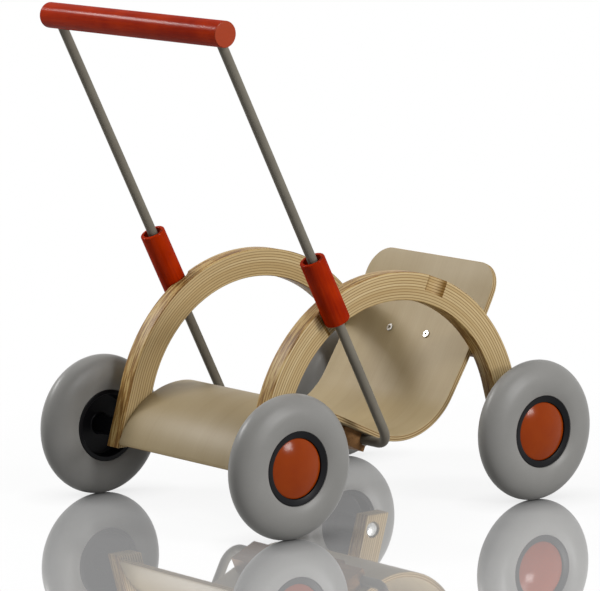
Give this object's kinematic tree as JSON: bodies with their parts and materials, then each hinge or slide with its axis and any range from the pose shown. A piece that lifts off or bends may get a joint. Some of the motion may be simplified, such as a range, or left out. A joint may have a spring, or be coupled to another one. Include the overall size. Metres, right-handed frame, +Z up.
{
  "type": "doll pram",
  "caption": "Wooden doll pram: moulded plywood seat between laminated arches on soft-tyred wheels, with a push handle locked by sliding sleeves.",
  "frame": {"origin": "on the floor, under the middle of the pram's overall box", "axes": "+X forward, away from the handle; +Y to the pusher's left; +Z up"},
  "size_m": [0.4929, 0.3562, 0.53],
  "materials": {
    "laminated_ash": "clear satin lacquer over glued ash veneers",
    "moulded_ply": "clear satin lacquer over pale veneer",
    "beech": "oiled solid beech",
    "red_lacquer": "gloss red lacquer on turned wood",
    "red_cap": "gloss moulded red",
    "grey_tyre": "matte grey foam rubber",
    "black_hub": "satin black moulding",
    "nylon": "natural nylon",
    "grey_powder_coat": "satin grey powder coat on steel rod",
    "zinc_steel": "bright zinc plate"
  },
  "bodies": {
    "frame": {"front_left_washer": "zinc_steel", "front_left_axle_bolt": "zinc_steel", "front_left_lock_nut": "zinc_steel", "front_right_washer": "zinc_steel", "front_right_axle_bolt": "zinc_steel", "front_right_lock_nut": "zinc_steel", "rear_left_washer": "zinc_steel", "rear_left_axle_bolt": "zinc_steel", "rear_left_lock_nut": "zinc_steel", "rear_right_washer": "zinc_steel", "rear_right_axle_bolt": "zinc_steel", "rear_right_lock_nut": "zinc_steel", "left_arch": "laminated_ash", "right_arch": "laminated_ash", "seat_shell": "moulded_ply", "back_rail": "beech", "rear_rail": "beech", "pivot_block": "beech", "back_rail_dowel_left": "beech", "back_rail_dowel_right": "beech", "rear_rail_dowel_left": "beech", "rear_rail_dowel_right": "beech", "back_screw_left": "zinc_steel", "back_screw_right": "zinc_steel", "block_screw_left": "zinc_steel", "block_screw_right": "zinc_steel"},
    "front_left_wheel": {"front_left_tyre": "grey_tyre", "front_left_hub": "black_hub", "front_left_hubcap": "red_cap", "front_left_bush": "nylon"},
    "front_right_wheel": {"front_right_tyre": "grey_tyre", "front_right_hub": "black_hub", "front_right_hubcap": "red_cap", "front_right_bush": "nylon"},
    "rear_left_wheel": {"rear_left_tyre": "grey_tyre", "rear_left_hub": "black_hub", "rear_left_hubcap": "red_cap", "rear_left_bush": "nylon"},
    "rear_right_wheel": {"rear_right_tyre": "grey_tyre", "rear_right_hub": "black_hub", "rear_right_hubcap": "red_cap", "rear_right_bush": "nylon"},
    "handle": {"handle_rod": "grey_powder_coat", "handle_grip": "red_lacquer"},
    "left_sleeve": {"left_sleeve": "red_lacquer"},
    "right_sleeve": {"right_sleeve": "red_lacquer"}
  },
  "joints": [
    {"name": "front_left_wheel_spin", "type": "hinge", "parent": "frame", "child": "front_left_wheel", "pos_m": [0.17146, 0.1605, 0.075], "axis": [0, 1, 0], "continuous": true},
    {"name": "front_right_wheel_spin", "type": "hinge", "parent": "frame", "child": "front_right_wheel", "pos_m": [0.17146, -0.1605, 0.075], "axis": [0, 1, 0], "continuous": true},
    {"name": "rear_left_wheel_spin", "type": "hinge", "parent": "frame", "child": "rear_left_wheel", "pos_m": [-0.1626, 0.1605, 0.075], "axis": [0, 1, 0], "continuous": true},
    {"name": "rear_right_wheel_spin", "type": "hinge", "parent": "frame", "child": "rear_right_wheel", "pos_m": [-0.1626, -0.1605, 0.075], "axis": [0, 1, 0], "continuous": true},
    {"name": "handle_swing", "type": "hinge", "parent": "frame", "child": "handle", "pos_m": [-0.00652, 0, 0.07532], "axis": [0, 1, 0], "range_deg": [-0.05, 1.6]},
    {"name": "left_sleeve_slide", "type": "slide", "parent": "handle", "child": "left_sleeve", "axis": [-0.4566, 0, 0.8897], "range_m": [0, 0.252]},
    {"name": "right_sleeve_slide", "type": "slide", "parent": "handle", "child": "right_sleeve", "axis": [-0.4566, 0, 0.8897], "range_m": [0, 0.252]}
  ]
}
